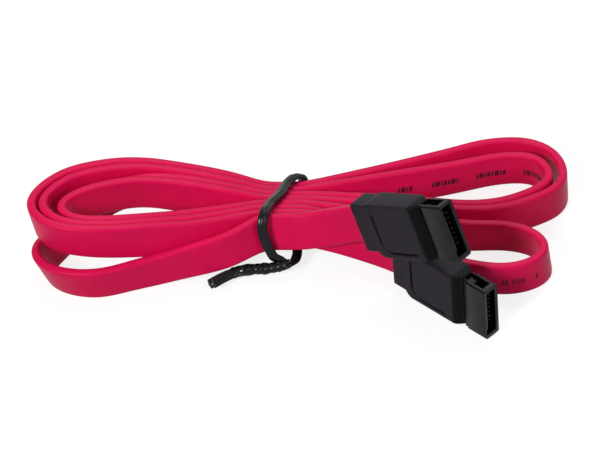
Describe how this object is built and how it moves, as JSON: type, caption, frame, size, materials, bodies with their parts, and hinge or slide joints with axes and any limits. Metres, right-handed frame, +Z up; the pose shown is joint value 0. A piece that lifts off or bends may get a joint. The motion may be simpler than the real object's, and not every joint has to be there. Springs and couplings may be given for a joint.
{
  "type": "sata data cable",
  "caption": "Flat red serial-ATA data cable, folded into a figure-of-eight hank under a black twist tie, with a straight keyed plug on each end",
  "frame": {"origin": "on the table, under the middle of the hank and its plugs", "axes": "+X runs along the folded hank, from its left turns to its right turns; +Z is up, away from the table, along the width of the strip that stands on edge; -Y is the side that both plugs point to"},
  "size_m": [0.1252, 0.0661, 0.0344],
  "materials": {
    "jacket": "satin",
    "plug": "satin",
    "housing": "satin",
    "mould": "matte",
    "contact": "polished",
    "core": "satin",
    "drain": "satin",
    "tie": "gloss",
    "wire": "satin"
  },
  "bodies": {
    "root": {"cable_jacket": "jacket", "plug_a_housing": "housing", "plug_a_grip": "plug", "plug_a_inner_mould": "mould", "plug_a_contact_1": "contact", "plug_a_contact_2": "contact", "plug_a_contact_3": "contact", "plug_a_contact_4": "contact", "plug_a_contact_5": "contact", "plug_a_contact_6": "contact", "plug_a_contact_7": "contact", "plug_a_drain_1": "drain", "plug_a_core_2": "core", "plug_a_core_3": "core", "plug_a_drain_4": "drain", "plug_a_core_5": "core", "plug_a_core_6": "core", "plug_a_drain_7": "drain", "plug_b_housing": "housing", "plug_b_grip": "plug", "plug_b_inner_mould": "mould", "plug_b_contact_1": "contact", "plug_b_contact_2": "contact", "plug_b_contact_3": "contact", "plug_b_contact_4": "contact", "plug_b_contact_5": "contact", "plug_b_contact_6": "contact", "plug_b_contact_7": "contact", "plug_b_drain_1": "drain", "plug_b_core_2": "core", "plug_b_core_3": "core", "plug_b_drain_4": "drain", "plug_b_core_5": "core", "plug_b_core_6": "core", "plug_b_drain_7": "drain", "tie_ribbon": "tie", "tie_wire": "wire"}
  },
  "joints": []
}
